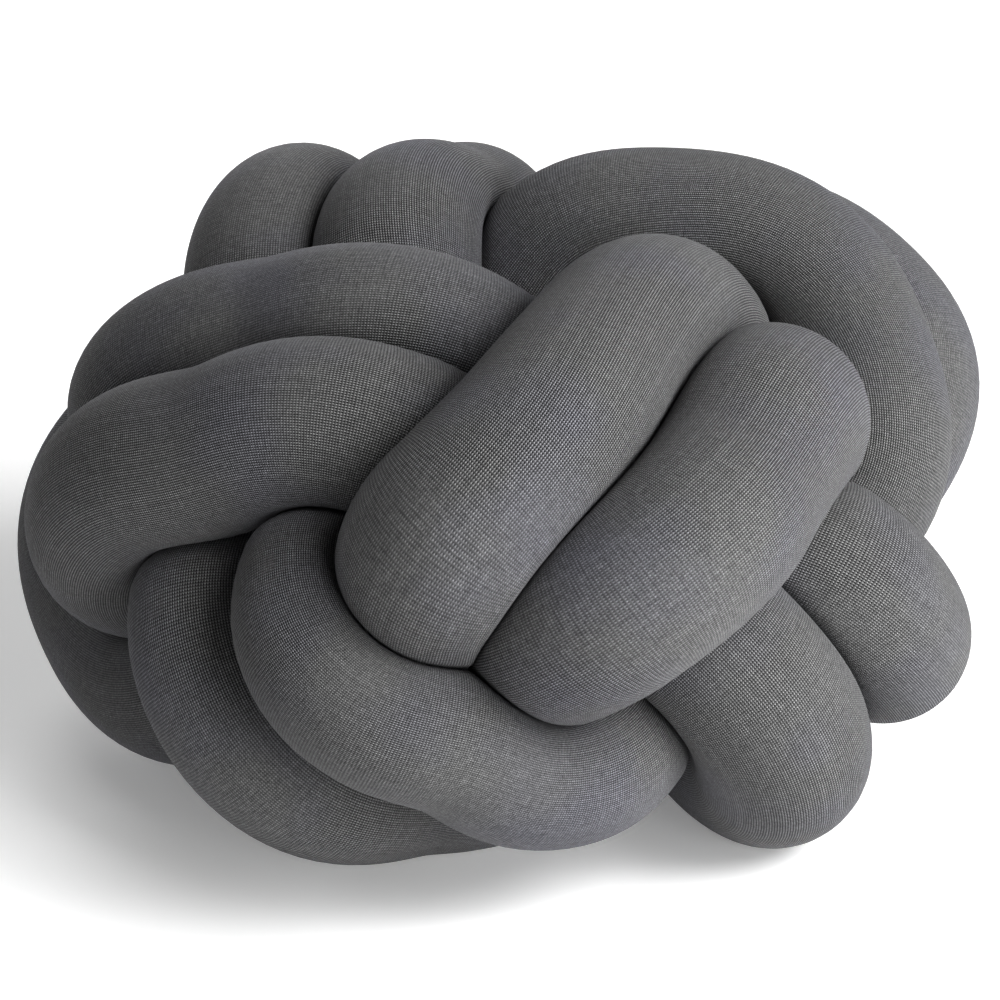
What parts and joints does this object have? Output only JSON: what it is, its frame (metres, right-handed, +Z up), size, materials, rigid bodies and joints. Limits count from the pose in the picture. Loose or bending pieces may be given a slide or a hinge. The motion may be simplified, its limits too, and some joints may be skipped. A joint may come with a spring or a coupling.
{
  "type": "knot pouf",
  "caption": "Round floor pouf tied from thick stuffed tubes of grey knitted cloth in one over-and-under knot.",
  "frame": {"origin": "middle of the pouf's footprint, on the floor it rests on", "axes": "+Z up, the front with the two slanting bars faces -Y, +X to the right seen from the front"},
  "size_m": [0.6186, 0.5922, 0.3672],
  "materials": {
    "knit": "matte dark grey fine machine knit"
  },
  "bodies": {
    "root": {"tube_upper": "knit", "tube_lower": "knit"}
  },
  "joints": []
}
